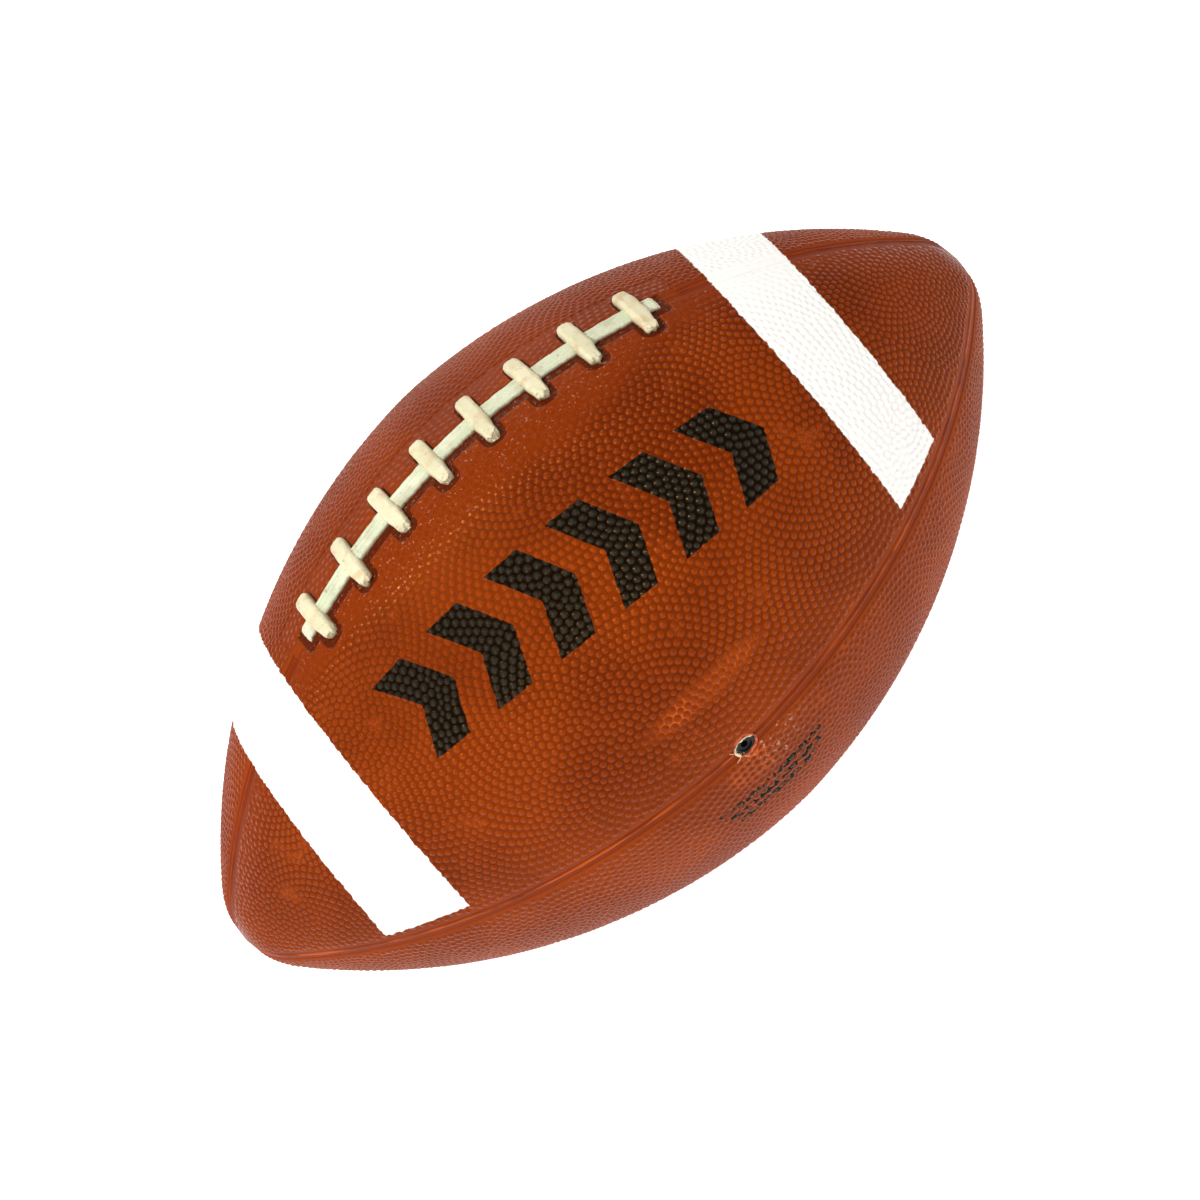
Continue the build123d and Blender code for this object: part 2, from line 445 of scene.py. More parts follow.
def stud_rings(keep):
    """Chart points of the kept studs: middle, shoulder ring and foot ring, with owner and t."""
    parts = []
    index = np.nonzero(keep)[0]
    turn = studs.u[index] * 57.0
    for count, t in ((1, 0.0), (6, 0.55), (7, 1.0)):
        for k in range(count):
            angle = turn + 2 * math.pi * k / count
            reach = t * studs.foot[index] / studs.r[index]
            u = studs.u[index] + reach * np.cos(angle)
            psi = studs.psi[index] + reach * np.sin(angle)
            parts.append(np.column_stack([u, psi, index, np.full(len(index), t)]))
    return np.vstack(parts)


def web_points():
    """The low points of the land, in the middle between three studs."""
    whole = (studs.triangles < studs.count).all(axis=1)
    middle = studs.every[studs.triangles[whole]].mean(axis=1)
    return np.column_stack([middle, np.full(len(middle), -1), np.full(len(middle), FAR_AWAY)])


def inside_panel(u, psi, has_laces, has_valve, clearance):
    """Whether chart points are inside a panel's outline, by a clearance in millimetres."""
    s = s_of_u(u)
    low = edge_angle(s, HALF_SEAM + EDGE_ROLL + clearance)
    high = QUARTER - edge_angle(s, seam_edge(s, has_valve) + EDGE_ROLL + clearance)
    inside = (psi > low) & (psi < high)
    if has_laces:
        beside = np.abs(s) > SURROUND_S + clearance
        inside &= beside | (psi > SURROUND_ANGLE + clearance / radius_at(s))
    return inside


def studs_by_laces():
    """Centres, foot radii and distances from the axis of the studs nearest to the laces."""
    near = studs.psi < SURROUND_ANGLE + 0.06
    return studs.centres[near], studs.foot[near], studs.r[near]


def stud_level(u, psi, centres, feet, chart_radius):
    """Height above the land and nearest stud at chart points."""
    level, nearest = np.zeros(len(u)), np.zeros(len(u), int)
    for start in range(0, len(u), 2000):
        part = slice(start, start + 2000)
        gap = np.hypot(u[part, None] - centres[:, 0], psi[part, None] - centres[:, 1])
        t = gap * chart_radius / feet
        nearest[part] = np.argmin(t, axis=1)
        level[part] = dome(np.min(t, axis=1)) * feet[nearest[part]] / FULL_FOOT
    return level * STUD_HEIGHT, nearest


def set_stud_uv(mesh, faces, chart, owner, centres, feet, radii):
    """Store each face corner's place about its face's stud, in foot radii, for the shader."""
    corners = np.concatenate([part.ravel() for part in faces])
    sizes = np.concatenate([np.full(len(part), part.shape[1]) for part in faces])
    corner_owner = np.repeat(owner, sizes)
    index = np.maximum(corner_owner, 0)
    scale = radii[index] / feet[index]
    uv = (chart[corners] - centres[index]) * scale[:, None]
    uv = np.where(corner_owner[:, None] >= 0, uv, NO_STUD)
    mesh.uv_layers.new(name="stud").data.foreach_set("uv", uv.ravel())


def set_relief(mesh, values):
    mesh.attributes.new("relief", "FLOAT", "POINT").data.foreach_set("value", values)


def mark_sharp(mesh, vertex_mask):
    """Sharp edges between masked vertices, so that shading breaks there."""
    ends = np.zeros(2 * len(mesh.edges), np.int32)
    mesh.edges.foreach_get("vertices", ends)
    sharp = vertex_mask[ends.reshape(-1, 2)].all(axis=1)
    mesh.attributes.new("sharp_edge", "BOOLEAN", "EDGE").data.foreach_set("value", sharp)


def make_panel(node, base, turn, direction, has_laces, has_valve):
    """One pebbled cover panel: studded face, rolled edges and a plain underside."""
    s, psi, kind = panel_outline(has_laces, has_valve)
    edge_count = len(s)
    # The tip corners come twice in the outline, once for each edge, and share one point
    shared = np.arange(edge_count)
    low_count = int((kind != 1).sum())
    shared[low_count] = low_count - 1
    shared[-1] = 0
    own = np.unique(shared)
    slot_of = np.zeros(edge_count, int)
    slot_of[own] = np.arange(len(own))
    slot_of = slot_of[shared]

    rings = stud_rings(np.ones(studs.count, bool))
    rings = rings[inside_panel(rings[:, 0], rings[:, 1], has_laces, has_valve, 0.12)]
    web = web_points()
    web = web[inside_panel(web[:, 0], web[:, 1], has_laces, has_valve, 0.3)]
    no_stud = np.full(len(own), -1)
    border = np.column_stack([u_of(s[own]), psi[own], no_stud, np.full(len(own), FAR_AWAY)])
    chart = np.vstack([border, rings, web])
    triangles = triangulate(chart[:, :2], range(len(own)))

    owner = chart[:, 2].astype(int)
    s_all = s_of_u(chart[:, 0])
    phi_all = base + turn * chart[:, 1]
    relief = lace_relief(s_all, phi_all) if has_laces else np.ones(len(chart))
    size = np.where(owner >= 0, studs.foot[np.maximum(owner, 0)], 0.0) / FULL_FOOT
    height = LAND + STUD_HEIGHT * size * relief * dome(np.minimum(chart[:, 3], 1.0))
    notch = np.nonzero(kind[own] == 2)[0]
    if len(notch):
        level, _ = stud_level(*chart[notch, :2].T, *studs_by_laces())
        fade = surround_fade(direction * s_all[notch], phi_all[notch])
        height[notch] = LAND + level * relief[notch] * fade

    points = [on_ball(direction * s_all, phi_all, height)]
    base_index = len(chart)
    rows = [slot_of]
    for distance, level in ROLL_ROWS[1:]:
        row_psi = row_angle(s, psi, kind, distance, has_valve)
        points.append(on_ball(direction * s, base + turn * row_psi, np.full(edge_count, level)))
        rows.append(base_index + np.arange(edge_count))
        base_index += edge_count
    walls, corners = [], []
    for upper, lower in zip(rows, rows[1:]):
        for i in range(edge_count):
            j = (i + 1) % edge_count
            if upper[i] == upper[j]:
                corners.append((upper[i], lower[j], lower[i]))
            else:
                walls.append((upper[i], upper[j], lower[j], lower[i]))

    inner_psi = np.linspace(0.1, QUARTER - 0.1, 14)
    inner_s, inner_psi = [grid.ravel() for grid in np.meshgrid(np.arange(-150, 151, 8.0), inner_psi)]
    inner = np.column_stack([u_of(inner_s), inner_psi])
    inner = inner[inside_panel(inner[:, 0], inner[:, 1], has_laces, has_valve, 1.5)]
    last_psi = row_angle(s, psi, kind, 0.0, has_valve)
    under_chart = np.vstack([np.column_stack([u_of(s), last_psi]), inner])
    under = triangulate(under_chart, range(edge_count))
    under = np.where(under < edge_count, under + rows[-1][0], under - edge_count + base_index)
    inner_phi = base + turn * inner[:, 1]
    points.append(on_ball(direction * s_of_u(inner[:, 0]), inner_phi, np.full(len(inner), UNDERSIDE)))

    points = np.vstack(points)
    faces = [triangles[:, ::-1], under, np.array(corners), np.array(walls)]
    piece = add_mesh(node.replace("panel", "cover"), points, faces)

    middle = chart[triangles][:, :, :2].mean(axis=1)
    candidates = owner[triangles]
    gap = np.hypot(
        middle[:, None, 0] - studs.u[np.maximum(candidates, 0)],
        middle[:, None, 1] - studs.psi[np.maximum(candidates, 0)],
    )
    gap = np.where(candidates >= 0, gap, FAR_AWAY)
    face_owner = candidates[np.arange(len(candidates)), np.argmin(gap, axis=1)]
    others = len(under) + len(corners) + len(walls)
    face_owner = np.concatenate([face_owner, np.full(others, -1)])
    chart_all = np.zeros((len(points), 2))
    chart_all[: len(chart)] = chart[:, :2]
    set_stud_uv(piece.data, faces, chart_all, face_owner, studs.centres, studs.foot, studs.r)
    full_relief = np.ones(len(points))
    full_relief[: len(chart)] = relief
    set_relief(piece.data, full_relief)
    mask = np.zeros(len(points), bool)
    mask[notch] = True
    mask[rows[3]] = True
    mark_sharp(piece.data, mask)
    return piece


# ---- Lace surround: recess for the laces, pockets for the bars, channel at both ends ----

POCKET_CORNER = 2.6
LIP_HEIGHT = 0.30
BEAD_ASIDE = -0.4
LACE_ASIDE = 0.8


def box_distance(a, b, half_a, half_b, corner):
    """Signed distance to a rounded rectangle, negative inside."""
    qa, qb = np.abs(a) - (half_a - corner), np.abs(b) - (half_b - corner)
    outside = np.hypot(np.maximum(qa, 0), np.maximum(qb, 0))
    return outside + np.minimum(np.maximum(qa, qb), 0) - corner


def recess_distances(s, phi):
    """Distances to the spine's recess and to the nearest bar's pocket.

    Both are roomy towards the print panel and close round the laces towards the back panel.
    """
    across = radius_at(s) * phi
    near = across > 0
    half_width = np.where(near, RECESS_HALF_WIDTH, SPINE_HALF_WIDTH + LACE_ASIDE + 0.2)
    half_a = BAR_HALF_WIDTH + np.where(near, POCKET_MARGIN, 0.25)
    half_b = BAR_HALF_LENGTH + np.where(near, POCKET_MARGIN, 0.45)
    corner = np.where(near, POCKET_CORNER, 1.8)
    spine = box_distance(np.abs(s), across, float(s_of_x(RECESS_HALF_LENGTH)), half_width, 1.2)
    places = [float(s_of_x(x)) for x in BAR_X]
    pockets = [box_distance(s - place, across, half_a, half_b, corner) for place in places]
    return spine, np.min(pockets, axis=0)


def surround_fade(s, phi):
    distance = np.min(recess_distances(s, phi), axis=0)
    return np.where(phi > 0, smooth_step(0.9, 2.2, distance), smooth_step(0.0, 0.7, distance))


def ridge(value, middle, spread):
    """A bell curve, 1 at its middle."""
    return np.exp(-(((value - middle) / spread) ** 2))


def bead_shape(s, offset):
    """The seam bead across its channel, a little uneven along its length."""
    wander = BEAD_ASIDE + 0.16 * np.sin(s * 0.21) + 0.10 * np.sin(s * 0.67 + 1.3)
    strength = 0.74 + 0.18 * np.sin(s * 0.13 + 0.6) + 0.08 * np.sin(s * 1.9)
    return strength * ridge(offset, wander, 0.40)


def channel_level(s, offset):
    """Level across a seam channel, from its floor and bead to the panels' land."""
    floor = CHANNEL_FLOOR + (BEAD_TOP - CHANNEL_FLOOR) * bead_shape(s, offset)
    return floor + (LAND - floor) * smooth_step(HALF_SEAM - 0.1, HALF_SEAM + EDGE_ROLL, np.abs(offset))


def make_surround():
    """The moulded strip under and round the laces, with the studs nearest to it."""
    s_line = np.linspace(-SURROUND_S, SURROUND_S, SURROUND_COLUMNS)
    phi_line = np.linspace(-SURROUND_ANGLE, SURROUND_ANGLE, SURROUND_ROWS)
    s, phi = [grid.ravel() for grid in np.meshgrid(s_line, phi_line, indexing="ij")]
    centres, feet, radii = studs_by_laces()
    both_sides = np.vstack([centres, -centres]), np.tile(feet, 2), np.tile(radii, 2)
    chart = np.column_stack([u_of(s), phi])
    level, _ = stud_level(*chart.T, *both_sides)
    spine, pocket = recess_distances(s, phi)
    relief = lace_relief(s, phi) * surround_fade(s, phi)
    lip = ridge(pocket, 0.75, 0.34) * smooth_step(-0.6, 0.6, spine)
    lip = np.maximum(lip, 0.35 * ridge(pocket, 3.6, 0.40) * smooth_step(6.0, 8.0, spine))
    lip = np.maximum(lip, 0.5 * ridge(spine, 0.65, 0.30) * smooth_step(-0.5, 0.8, pocket))
    height = LAND + level * relief + LIP_HEIGHT * lip * smooth_step(0.005, 0.03, phi)
    wall = smooth_step(-0.20, 0.45, np.minimum(spine, pocket))
    # Relief below zero marks the recess and pockets, which the cover shader paints dark as shade
    relief = relief - (1 - wall)
    height = BED_LEVEL + (height - BED_LEVEL) * wall
    height = np.minimum(height, channel_level(s, radius_at(s) * np.sin(phi)))

    index = np.arange(len(s)).reshape(SURROUND_COLUMNS, SURROUND_ROWS)
    quads = [index[:-1, :-1], index[:-1, 1:], index[1:, 1:], index[1:, :-1]]
    quads = np.stack(quads, axis=-1).reshape(-1, 4)
    rim = np.concatenate([index[:-1, 0], index[-1, :-1], index[:0:-1, -1], index[0, :0:-1]])
    top = on_ball(s, phi, height)
    low = on_ball(s[rim], phi[rim], np.full(len(rim), UNDERSIDE))
    lower = len(top) + np.arange(len(rim))
    walls = np.column_stack([rim, np.roll(rim, -1), np.roll(lower, -1), lower])
    under = triangulate(chart[rim], range(len(rim))) + len(top)
    faces = [quads, walls, under]
    piece = add_mesh("lace_surround", np.vstack([top, low]), faces)

    _, owner = stud_level(*chart[quads].mean(axis=1).T, *both_sides)
    owner = np.concatenate([owner, np.full(len(walls) + len(under), -1)])
    set_stud_uv(piece.data, faces, np.vstack([chart, chart[rim]]), owner, *both_sides)
    set_relief(piece.data, np.concatenate([relief, np.zeros(len(rim))]))
    mask = np.zeros(len(top) + len(rim), bool)
    mask[rim] = True
    mark_sharp(piece.data, mask)
    return piece


# ---- Seam strips ----

STRIP_ASIDE = np.array([0.0, 0.12, 0.26, 0.42, 0.6, 0.8, 1.1, 1.5, 1.95])
STRIP_ACROSS = np.concatenate([-STRIP_ASIDE[:0:-1], STRIP_ASIDE])
STRIP_END = HALF_ARC - 2.1
VALVE_GAP = 3.7
# Seam angle, and the arc lengths between which the strip runs
SEAMS = {
    "seam_strip_lace_right": (0.0, SURROUND_S, HALF_ARC),
    "seam_strip_lace_left": (0.0, -HALF_ARC, -SURROUND_S),
    "seam_strip_valve_right": (QUARTER, VALVE_GAP, STRIP_END),
    "seam_strip_valve_left": (QUARTER, -STRIP_END, -VALVE_GAP),
    "seam_strip_bottom": (math.pi, -HALF_ARC, HALF_ARC),
    "seam_strip_back": (3 * QUARTER, -STRIP_END, STRIP_END),
}


def make_strip(node, seam_angle, s_from, s_to):
    """A moulded strip along a seam: channel floor, bead and plain underside, closed."""
    stations = np.linspace(s_from, s_to, int((s_to - s_from) / 0.8) + 1)
    around = len(STRIP_ACROSS) + 2
    loops = []
    for s in stations:
        offset = np.concatenate([STRIP_ACROSS, [HALF_SEAM, -HALF_SEAM]])
        level = np.full(len(STRIP_ACROSS), CHANNEL_FLOOR)
        if abs(s) < HALF_ARC - 3:
            level = channel_level(s, STRIP_ACROSS)
        level = np.concatenate([np.minimum(level, LAND - 0.05), [UNDERSIDE, UNDERSIDE]])
        loops.append(beside_seam(np.full(around, s), offset, level, seam_angle))
    piece = sweep(node.replace("seam_strip", "seam"), loops)
    column = np.arange(len(stations) * around + 2) % around
    mark_sharp(piece.data, (column == 0) | (column == len(STRIP_ACROSS) - 1))
    return piece


# ---- Laces ----


def rounded_power(value, power):
    return np.sign(value) * np.abs(value) ** power


def bumpy(points, size, amount, seed):
    """Noise offsets for points in millimetres."""
    shift = Vector((seed * 17.3, seed * 5.1, seed * 9.7))
    return amount * np.array([noise.noise(Vector(p) / size + shift) for p in points])


def quarter_round(inset, radius):
    """How far a rounded corner of a radius lies inside its square corner, at an inset."""
    left = max(radius - inset, 0.0)
    return radius - math.sqrt(radius**2 - left**2)


BAR_INSETS = [0.0, 0.06, 0.18, 0.36, 0.6, 0.9, 1.25, 1.65, 2.1]
FAR_CORNER, NEAR_CORNER = 1.7, 1.5
FAR_ROUND, NEAR_ROUND = 1.0, 0.8
FAR_REACH, NEAR_REACH = -10.8, 9.3


def make_bar(number, x):
    """One cross bar: flat topped, rounded at its far end, blunt and ragged at its near end."""
    s_middle = float(s_of_x(x))
    near = NEAR_REACH + 0.35 * math.sin(number * 4.1)
    inner = np.linspace(FAR_REACH + 2.6, near - 2.6, 30)
    insets = np.array(BAR_INSETS)
    stations = np.concatenate([FAR_REACH + insets, inner, near - insets[::-1]])
    turn = np.linspace(0, math.pi, 23)
    bend = 0.35 * math.sin(number * 2.3)
    loops = []
    for t in stations:
        inset = min(t - FAR_REACH, near - t)
        corner, top_round = (FAR_CORNER, FAR_ROUND) if t < 0 else (NEAR_CORNER, NEAR_ROUND)
        width = BAR_HALF_WIDTH * (0.95 - 0.16 * smooth_step(1, 8, t) + 0.05 * ridge(t, 2.6, 1.6))
        width -= quarter_round(inset, corner) + 0.12
        top = BAR_TOP - 0.10 - 0.35 * smooth_step(3, 10, abs(t)) - quarter_round(inset, top_round)
        a = width * rounded_power(np.cos(turn), 0.55)
        h = BED_LEVEL + 0.02 + (top - BED_LEVEL) * np.sin(turn) ** 0.42
        place = np.column_stack([a, np.full(len(a), t), h])
        rag = 0.12 + 0.95 * smooth_step(5.0, 9.0, t)
        lump = bumpy(place, 2.4, 0.30, number) + bumpy(place, 0.8, 0.30 * rag, number + 20)
        rib = 0.06 * np.cos(a * 4.6 + 0.5 * math.sin(t * 0.7)) * smooth_step(0.4, 1.5, h)
        h = np.minimum(h + 0.5 * lump * smooth_step(-0.6, 0.8, h) + rib, BAR_TOP - 0.02)
        reach = t + bumpy(place, 1.1, rag, number + 40) * smooth_step(2.2, 0.0, inset)
        loops.append(beside_seam(s_middle + bend * t / 12 + a + 0.5 * lump, reach, h, 0.0))
    return sweep(f"lace_cross_{number}", loops)


def make_spine():
    """The lace strip along the ball, grooved lengthwise, diving into the bed at both ends."""
    s_end = float(s_of_x(SPINE_HALF_LENGTH))
    across = np.linspace(-1, 1, 33)
    loops = []
    for s in np.linspace(-s_end, s_end, 400):
        dive = smooth_step(s_end - 1.0, s_end, abs(s))
        width = SPINE_HALF_WIDTH * (0.95 + 0.02 * math.sin(s * 0.37) + 0.02 * math.sin(s * 1.1 + 2))
        b = width * across
        shoulder = (1 - across**8) ** 0.5
        groove = 0.15 * np.cos(b * 3.9 + 0.6 * math.sin(s * 0.11))
        groove += 0.06 * np.cos(b * 8.3 + math.sin(s * 0.23))
        rough = bumpy(np.column_stack([np.full(len(b), s * 0.3), b, b * 0]), 0.9, 0.25, 3)
        h = BED_LEVEL + (SPINE_TOP - 0.2 - BED_LEVEL) * shoulder + (groove + rough * 0.5) * shoulder
        h = h - dive * 0.7 * shoulder
        ragged = bumpy(np.column_stack([b * 0 + s, b * 0.2, b * 0]), 1.3, 0.25, 5) * np.abs(across) ** 6
        b = np.append(b + ragged, 0.0)
        h = np.append(np.minimum(h, SPINE_TOP), BED_LEVEL - 0.3)
        loops.append(beside_seam(np.full(len(b), s), b - LACE_ASIDE, h, 0.0))
    return sweep("lace_strip", loops)


# ---- Valve ----

RIM_OUTER = 4.0
RIM_HOLE = (3.25, 2.40)


def make_rim():
    """The worn rim of the valve opening: a lip round an oval hole."""
    around = 72
    turn = np.linspace(0, 2 * math.pi, around, endpoint=False)
    wobble = 1 + 0.05 * np.sin(3 * turn + 0.5) + 0.04 * np.sin(7 * turn) + 0.03 * np.sin(13 * turn + 2)
    hole = np.column_stack([RIM_HOLE[0] * np.cos(turn), RIM_HOLE[1] * np.sin(turn)]) * wobble[:, None]
    outer = RIM_OUTER * np.column_stack([np.cos(turn), np.sin(turn)])
    lift = 0.12 * np.sin(2 * turn + 0.7) + 0.07 * np.sin(9 * turn) + 0.05 * np.sin(16 * turn)
    # Share of the way from the hole to the outer edge, and level
    rows = [
        (0.02, -1.45), (0.0, -0.95), (0.0, -0.62), (0.06, -0.45), (0.22, -0.33), (0.45, -0.36),
        (0.7, -0.48), (0.9, -0.66), (1.0, -0.85), (1.0, -1.45),
    ]
    points = []
    for share, level in rows:
        flat = hole + share * (outer - hole)
        up = level + (lift if level > -0.8 else 0)
        s, angle = s_of_x(flat[:, 0]), QUARTER - flat[:, 1] / BALL_RADIUS
        points.append(on_ball(s, angle, up))
    index = np.arange(len(rows) * around).reshape(-1, around)
    ahead = np.roll(index, -1, axis=1)
    below = np.roll(index, -1, axis=0)
    quads = np.stack([below, np.roll(ahead, -1, axis=0), ahead, index], axis=-1).reshape(-1, 4)
    return add_mesh("valve_rim", np.vstack(points), [quads])


def make_threads():
    """A few loose threads of the lining that stick out of the valve opening."""
    # Points are places along the ball, towards the laces, and above the CAD surface
    paths = [
        [(-2.3, -1.2, -0.9), (-3.0, -1.7, -0.3), (-3.9, -2.0, -0.15), (-4.9, -2.6, -0.25)],
        [(-1.7, -1.7, -0.9), (-2.0, -2.4, -0.2), (-1.7, -3.2, -0.12), (-1.0, -3.9, -0.3)],
        [(-2.8, 0.4, -0.9), (-3.4, 0.9, -0.25), (-4.3, 1.3, -0.12), (-4.8, 2.1, -0.3)],
    ]
    curve = bpy.data.curves.new("valve_threads", "CURVE")
    curve.dimensions = "3D"
    curve.bevel_depth = 0.08 * MM
    curve.bevel_resolution = 2
    for path in paths:
        spline = curve.splines.new("NURBS")
        spline.points.add(len(path) - 1)
        for point, (x, up, level) in zip(spline.points, path):
            place = on_ball(s_of_x(x), QUARTER - up / BALL_RADIUS, level)[0] * MM
            point.co = (*place, 1.0)
        spline.order_u = 3
        spline.use_endpoint_u = True
    return add_object("valve_threads", curve)


# ---- Materials ----


class Shader:
    """A material's node tree, with short calls for the nodes used here."""

    def __init__(self, name, shine, tint=(1.0, 1.0, 1.0)):
        """shine is the level of the reflection seen face on, and tint its colour."""
        self.material = bpy.data.materials.new(name)
        self.material.use_nodes = True
        self.tree = self.material.node_tree
        self.bsdf = self.tree.nodes["Principled BSDF"]
        self.bsdf.inputs["Specular IOR Level"].default_value = shine
        self.bsdf.inputs["Specular Tint"].default_value = (*tint, 1.0)

    def node(self, kind, **settings):
        made = self.tree.nodes.new(kind)
        for key, value in settings.items():
            setattr(made, key, value)
        return made

    def feed(self, socket, value):
        if isinstance(value, bpy.types.NodeSocket):
            self.tree.links.new(value, socket)
        else:
            socket.default_value = value

    def math(self, operation, *values, clamp=False):
        made = self.node("ShaderNodeMath", operation=operation, use_clamp=clamp)
        for socket, value in zip(made.inputs, values):
            self.feed(socket, value)
        return made.outputs[0]

    def plus(self, one, two):
        return self.math("ADD", one, two)

    def minus(self, one, two):
        return self.math("SUBTRACT", one, two)

    def times(self, one, two):
        return self.math("MULTIPLY", one, two)

    def times_plus(self, one, two, three):
        return self.math("MULTIPLY_ADD", one, two, three)

    def ratio(self, one, two):
        return self.math("DIVIDE", one, two)

    def size(self, value):
        return self.math("ABSOLUTE", value)

    def length(self, one, two):
        """Length of a vector with two sides."""
        squares = [self.math("POWER", side, 2.0) for side in (one, two)]
        return self.math("SQRT", self.plus(*squares))

    def mix(self, factor, one, two):
        made = self.node("ShaderNodeMix", data_type="RGBA")
        self.feed(made.inputs[0], factor)
        self.feed(made.inputs[6], one if isinstance(one, bpy.types.NodeSocket) else (*one, 1.0))
        self.feed(made.inputs[7], two if isinstance(two, bpy.types.NodeSocket) else (*two, 1.0))
        return made.outputs[2]

    def step(self, value, low, high):
        """0 below low, 1 above high, smooth between."""
        made = self.node("ShaderNodeMapRange", interpolation_type="SMOOTHSTEP")
        self.feed(made.inputs[0], value)
        self.feed(made.inputs[1], low)
        self.feed(made.inputs[2], high)
        return made.outputs[0]

    def below(self, value, limit, soft=0.1):
        """1 below a limit, 0 above it."""
        return self.step(value, limit + soft, limit - soft)

    def place(self):
        return self.node("ShaderNodeTexCoord").outputs["Object"]

    def axes(self):
        """The three object coordinates, in metres."""
        split = self.node("ShaderNodeSeparateXYZ")
        self.feed(split.inputs[0], self.place())
        return split.outputs

    def noise(self, size_mm, detail):
        """Noise about 0.5 whose blobs are size_mm across."""
        made = self.node("ShaderNodeTexNoise")
        self.feed(made.inputs["Vector"], self.place())
        made.inputs["Scale"].default_value = 1 / (size_mm * MM)
        made.inputs["Detail"].default_value = detail
        return made.outputs["Fac"]

    def wobble(self, size_mm, amount):
        """Noise about 0."""
        return self.times(self.minus(self.noise(size_mm, 2.0), 0.5), amount)

    def bump(self, height_mm):
        """Surface relief of a height in millimetres."""
        made = self.node("ShaderNodeBump")
        made.inputs["Strength"].default_value = 1.0
        made.inputs["Distance"].default_value = MM
        self.feed(made.inputs["Height"], height_mm)
        return made.outputs["Normal"]

    def finish(self, color, roughness, normal):
        self.feed(self.bsdf.inputs["Base Color"], color)
        self.feed(self.bsdf.inputs["Roughness"], roughness)
        self.feed(self.bsdf.inputs["Normal"], normal)
        return self.material


# Finishes, as linear colours
STUD_DARK, STUD_LIGHT = (0.190, 0.021, 0.0008), (0.258, 0.033, 0.0012)
# The land between the studs is painted darker than the studs, as painted shade in the valleys
SHADED_LAND_DARK, SHADED_LAND_LIGHT = (0.112, 0.011, 0.0005), (0.172, 0.020, 0.0008)
# Bright orange web: worn bare in places, and used as a painted sheen where the web catches the pale
# surroundings
BARE_WEB_AND_SHEEN = (0.560, 0.090, 0.012)
# A dark ring round each stud's foot: painted shade in the crease, with some grime
FOOT_SHADE_AND_GRIME = (0.050, 0.006, 0.001)
SMOOTH_RUBBER = (0.200, 0.0235, 0.0008)
RECESS_SHADE = (0.080, 0.008, 0.0010)
# Painted shade in the lace recess and the bar pockets
SCUFF = (0.340, 0.070, 0.018)
PALE_SCUFF = (0.560, 0.300, 0.200)
# Ink: near black as painted shade between the studs, grey on the stud tops as a painted highlight
INK_SHADE, INK_HIGHLIGHT = (0.0006, 0.0006, 0.0006), (0.014, 0.017, 0.016)
PAINT, PAINT_WORN = (0.93, 0.93, 0.91), (0.84, 0.80, 0.71)
SEAM_DARK, SEAM_LIGHT = (0.145, 0.014, 0.001), (0.205, 0.021, 0.001)
CREST = (0.470, 0.075, 0.005)
STRIP_TONES = (0.57, 0.61, 0.43), (0.66, 0.67, 0.50), (0.46, 0.46, 0.31)
BAR_TONES = (0.64, 0.60, 0.39), (0.72, 0.66, 0.45), (0.56, 0.40, 0.22)
LACE_DIRT = (0.25, 0.17, 0.09)
RUBBER_TONES = (0.006, 0.006, 0.007), (0.014, 0.014, 0.014)
THREAD_TONES = (0.60, 0.48, 0.28), (0.78, 0.68, 0.46)
RIM_LINING = (0.72, 0.60, 0.36)
FLOOR_TONES = (0.62, 0.62, 0.62), (0.64, 0.64, 0.63)

# Painted stripes: axial range at the laces, how far they lean by the valve seam, where they end
STRIPE_RIGHT = (80.6, 101.2)
STRIPE_LEFT = (-101.2, -78.0)
STRIPE_LEAN = 4.1
STRIPE_END = math.radians(84.5)

# Plain chevrons along the print panel, in place of its lettering
PRINT_ANGLE = math.radians(39.8)
PRINT_LEAN = 0.0011
PRINT_HALF_LENGTH = 63.0
PRINT_HALF_HEIGHT = 15.5
CHEVRON_PITCH = 21.0
CHEVRON_HALF_WIDTH = 5.6
CHEVRON_SLOPE = 0.45

# Rows of plain marks below the valve seam, in place of its small lettering
MARK_ANGLES = [math.radians(a) for a in (103.0, 105.8, 108.6)]
MARK_HALF_LENGTH = 19.0
MARK_HALF_HEIGHT = 1.15
MARK_CELL = 0.72
MARK_GAPS = 0.34

# Reflection of the rubber seen face on: level and tint; the grazing reflection stays white
WARM_SHINE = (0.22, (1.0, 0.46, 0.10))

# Worn places and a painted sheen: place along the ball, degrees from the laces, half length and half
# width
# A band of web painted bright, as a painted reflection
WEB_SHEEN_SPOT = (2.0, 73.5, 27.0, 5.2)
VALVE_WEAR = (-2.0, 96.0, 13.0, 9.0)
VALVE_SCUFFS = (7.0, 95.0, 13.0, 10.0)


def ball_place(sh):
    """Axial place in millimetres and angle from the laces, from object coordinates."""
    x, y, z = sh.axes()
    return sh.ratio(x, MM), sh.math("ARCTAN2", sh.times(y, -1.0), z)


def band(sh, value, low, high, soft):
    """1 between low and high."""
    up = sh.step(value, low - soft, low + soft)
    down = sh.step(value, high - soft, high + soft)
    return sh.minus(up, down)


def stripe_mask(sh, x, phi):
    ragged = sh.wobble(1.6, 1.3)
    leaning = sh.plus(sh.times_plus(phi, STRIPE_LEAN, x), ragged)
    right = band(sh, leaning, *STRIPE_RIGHT, 0.12)
    left = band(sh, leaning, *STRIPE_LEFT, 0.12)
    angle = sh.times_plus(ragged, 0.012, sh.size(phi))
    return sh.times(sh.plus(right, left), sh.below(angle, STRIPE_END, 0.003))


